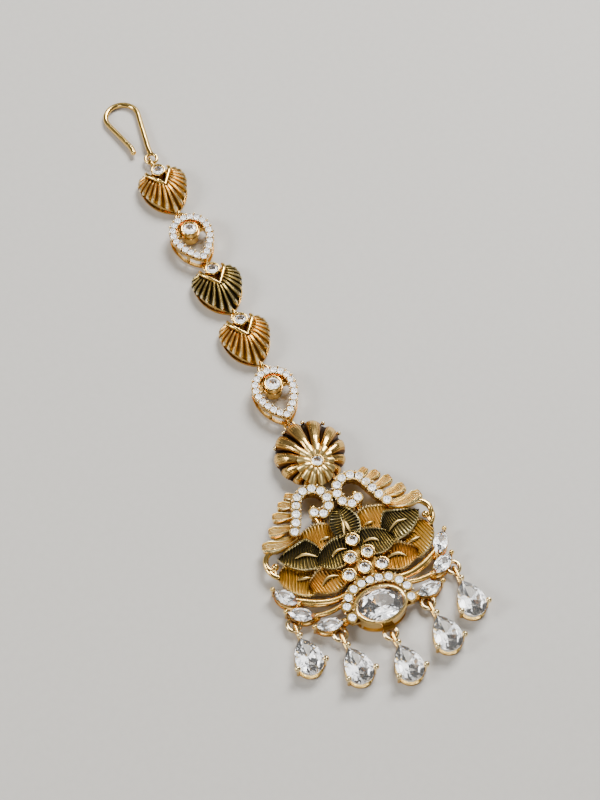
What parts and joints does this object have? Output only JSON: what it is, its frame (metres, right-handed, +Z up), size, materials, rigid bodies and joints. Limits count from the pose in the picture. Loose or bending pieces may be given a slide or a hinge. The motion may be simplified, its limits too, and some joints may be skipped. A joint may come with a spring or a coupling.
{
  "type": "maang tikka",
  "caption": "Forehead pendant lying flat: wide crested ornament with pear drops on a chain of shell, teardrop and flower links ending in an open hair hook.",
  "frame": {"origin": "middle of the whole jewel in plan, on the level of the surface that it lies on", "axes": "+Y along the jewel from the drops to the hair hook, +Z up out of the face of the jewel, +X to the right of the face"},
  "size_m": [0.0312, 0.1188, 0.0047],
  "materials": {
    "hook_gold": "polished yellow gold plate",
    "shell_gold": "yellow gold plate, darkened in the folds",
    "teardrop_gold": "polished yellow gold plate",
    "flower_gold": "antique gold plate, darkened in the folds",
    "ring_gold": "polished yellow gold plate",
    "pendant_gold": "yellow gold plate, darkened on the leaves",
    "drop_gold": "polished yellow gold plate",
    "round_crystal": "clear faceted cubic zirconia",
    "oval_crystal": "clear faceted cubic zirconia",
    "marquise_crystal": "clear faceted cubic zirconia",
    "pear_crystal": "clear faceted cubic zirconia"
  },
  "bodies": {
    "root": {"cluster_stone_1": "round_crystal", "cluster_stone_2": "round_crystal", "cluster_stone_3": "round_crystal", "cluster_stone_4": "round_crystal", "cluster_stone_5": "round_crystal", "cluster_stone_6": "round_crystal", "drop_setting_1": "drop_gold", "drop_setting_2": "drop_gold", "drop_setting_3": "drop_gold", "drop_setting_4": "drop_gold", "drop_setting_5": "drop_gold", "flower_link": "flower_gold", "flower_stone": "round_crystal", "hook": "hook_gold", "link_ring_left": "ring_gold", "link_ring_right": "ring_gold", "marquise_stone_1": "marquise_crystal", "marquise_stone_2": "marquise_crystal", "marquise_stone_3": "marquise_crystal", "marquise_stone_4": "marquise_crystal", "marquise_stone_5": "marquise_crystal", "marquise_stone_6": "marquise_crystal", "oval_stone": "oval_crystal", "pear_stone_1": "pear_crystal", "pear_stone_2": "pear_crystal", "pear_stone_3": "pear_crystal", "pear_stone_4": "pear_crystal", "pear_stone_5": "pear_crystal", "pendant_frame": "pendant_gold", "shell_link_1": "shell_gold", "shell_link_2": "shell_gold", "shell_link_3": "shell_gold", "shell_stone_1": "round_crystal", "shell_stone_2": "round_crystal", "shell_stone_3": "round_crystal", "teardrop_link_1": "teardrop_gold", "teardrop_link_2": "teardrop_gold", "teardrop_stone_1": "round_crystal", "teardrop_stone_2": "round_crystal"}
  },
  "joints": []
}
